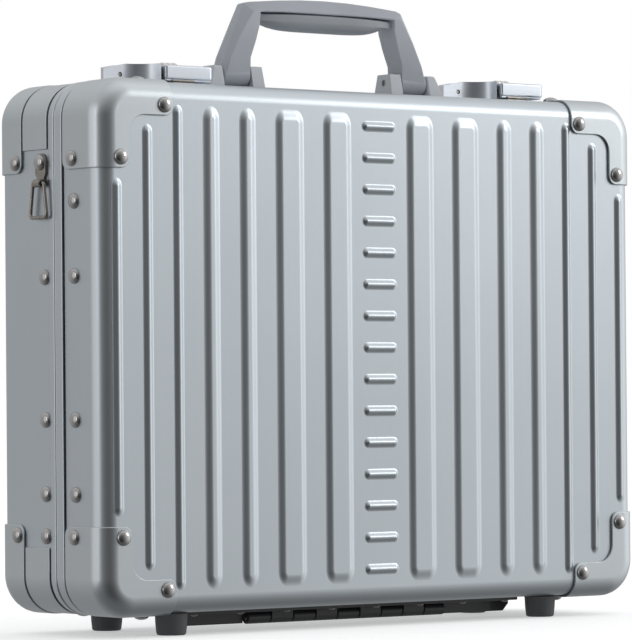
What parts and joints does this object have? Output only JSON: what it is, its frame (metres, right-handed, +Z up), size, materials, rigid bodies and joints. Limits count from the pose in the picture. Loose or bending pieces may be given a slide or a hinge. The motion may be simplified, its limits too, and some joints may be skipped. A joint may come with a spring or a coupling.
{
  "type": "aluminium attache case",
  "caption": "Ribbed aluminium hard-shell attache case on plain feet, with riveted corner protectors, folding carry handle, combination latches, piano hinge and strap rings.",
  "frame": {"origin": "bottom centre of the standing case, on the surface that its four feet stand on", "axes": "+X along the case's width, to the right as one looks at the lid; +Y from the lid's ribbed face to the back shell; +Z up, towards the handle"},
  "size_m": [0.4684, 0.127, 0.4268],
  "materials": {
    "shell_aluminium": "satin anodised",
    "latch_aluminium": "brushed",
    "bright_metal": "polished nickel",
    "dark_steel": "dark nickel",
    "black_hinge": "black semi-gloss",
    "foot_rubber": "matte",
    "handle_plastic": "fine texture",
    "grip_plastic": "satin",
    "lining_cloth": "woven"
  },
  "bodies": {
    "back_case": {"back_shell": "shell_aluminium", "back_frame": "shell_aluminium", "back_corner_bottom_left": "shell_aluminium", "back_corner_bottom_right": "shell_aluminium", "back_corner_top_left": "shell_aluminium", "back_corner_top_right": "shell_aluminium", "wrap_plate_bottom_left": "shell_aluminium", "wrap_plate_bottom_right": "shell_aluminium", "wrap_plate_top_left": "shell_aluminium", "wrap_plate_top_right": "shell_aluminium", "back_foot_left": "foot_rubber", "back_foot_right": "foot_rubber", "hinge_leaf_back": "black_hinge", "hinge_pin": "dark_steel", "handle_bracket_left": "handle_plastic", "handle_bracket_right": "handle_plastic", "latch_body_left": "latch_aluminium", "latch_body_right": "latch_aluminium", "strap_bracket_left": "dark_steel", "strap_bracket_right": "dark_steel", "back_lining": "lining_cloth", "stay_stud_left": "dark_steel", "stay_stud_right": "dark_steel"},
    "lid": {"front_shell": "shell_aluminium", "front_frame": "shell_aluminium", "gasket": "foot_rubber", "front_lining": "lining_cloth", "front_corner_bottom_left": "shell_aluminium", "front_corner_bottom_right": "shell_aluminium", "front_corner_top_left": "shell_aluminium", "front_corner_top_right": "shell_aluminium", "front_foot_left": "foot_rubber", "front_foot_right": "foot_rubber", "hinge_leaf_front": "black_hinge", "latch_keeper_left": "dark_steel", "latch_keeper_right": "dark_steel", "stay_pivot_left": "dark_steel", "stay_pivot_right": "dark_steel"},
    "handle": {"handle_frame": "handle_plastic", "handle_grip": "grip_plastic", "handle_pin_left": "dark_steel", "handle_pin_right": "dark_steel"},
    "latch_left": {"latch_lever_left": "latch_aluminium", "latch_pin_left": "dark_steel", "latch_hasp_left": "dark_steel", "dial_axle_left": "dark_steel"},
    "dial_left_1": {"dial_left_1": "bright_metal"},
    "dial_left_2": {"dial_left_2": "bright_metal"},
    "dial_left_3": {"dial_left_3": "bright_metal"},
    "ring_left": {"strap_ring_left": "dark_steel"},
    "stay_left": {"lid_stay_left": "dark_steel"},
    "latch_right": {"latch_lever_right": "latch_aluminium", "latch_pin_right": "dark_steel", "latch_hasp_right": "dark_steel", "dial_axle_right": "dark_steel"},
    "dial_right_1": {"dial_right_1": "bright_metal"},
    "dial_right_2": {"dial_right_2": "bright_metal"},
    "dial_right_3": {"dial_right_3": "bright_metal"},
    "ring_right": {"strap_ring_right": "dark_steel"},
    "stay_right": {"lid_stay_right": "dark_steel"}
  },
  "joints": [
    {"name": "lid_hinge", "type": "hinge", "parent": "back_case", "child": "lid", "pos_m": [0, -0.0185, 0.0077], "axis": [1, 0, 0], "range_deg": [0, 95]},
    {"name": "handle_fold", "type": "hinge", "parent": "back_case", "child": "handle", "pos_m": [0, 0.0045, 0.373], "axis": [1, 0, 0], "range_deg": [-85, 85]},
    {"name": "latch_lift_left", "type": "hinge", "parent": "back_case", "child": "latch_left", "pos_m": [-0.1722, 0.0145, 0.3691], "axis": [0, -1, 0], "range_deg": [0, 75]},
    {"name": "dial_turn_left_1", "type": "hinge", "parent": "latch_left", "child": "dial_left_1", "pos_m": [-0.1387, -0.004, 0.3728], "axis": [1, 0, 0], "continuous": true},
    {"name": "dial_turn_left_2", "type": "hinge", "parent": "latch_left", "child": "dial_left_2", "pos_m": [-0.1345, -0.004, 0.3728], "axis": [1, 0, 0], "continuous": true},
    {"name": "dial_turn_left_3", "type": "hinge", "parent": "latch_left", "child": "dial_left_3", "pos_m": [-0.1303, -0.004, 0.3728], "axis": [1, 0, 0], "continuous": true},
    {"name": "ring_swing_left", "type": "hinge", "parent": "back_case", "child": "ring_left", "pos_m": [-0.2315, 0.0065, 0.296], "axis": [0, 1, 0], "range_deg": [0, 120]},
    {"name": "stay_turn_left", "type": "hinge", "parent": "lid", "child": "stay_left", "pos_m": [-0.2148, -0.0285, 0.05157], "axis": [1, 0, 0], "range_deg": [-47.5, 0]},
    {"name": "latch_lift_right", "type": "hinge", "parent": "back_case", "child": "latch_right", "pos_m": [0.1168, 0.0145, 0.3691], "axis": [0, -1, 0], "range_deg": [0, 75]},
    {"name": "dial_turn_right_1", "type": "hinge", "parent": "latch_right", "child": "dial_right_1", "pos_m": [0.1503, -0.004, 0.3728], "axis": [1, 0, 0], "continuous": true},
    {"name": "dial_turn_right_2", "type": "hinge", "parent": "latch_right", "child": "dial_right_2", "pos_m": [0.1545, -0.004, 0.3728], "axis": [1, 0, 0], "continuous": true},
    {"name": "dial_turn_right_3", "type": "hinge", "parent": "latch_right", "child": "dial_right_3", "pos_m": [0.1587, -0.004, 0.3728], "axis": [1, 0, 0], "continuous": true},
    {"name": "ring_swing_right", "type": "hinge", "parent": "back_case", "child": "ring_right", "pos_m": [0.2315, 0.0065, 0.296], "axis": [0, -1, 0], "range_deg": [0, 120]},
    {"name": "stay_turn_right", "type": "hinge", "parent": "lid", "child": "stay_right", "pos_m": [0.2148, -0.0285, 0.05157], "axis": [1, 0, 0], "range_deg": [-47.5, 0]}
  ],
  "couplings": [
    {"joint": "stay_turn_left", "follows": "lid_hinge", "ratio": -0.5},
    {"joint": "stay_turn_right", "follows": "lid_hinge", "ratio": -0.5}
  ]
}
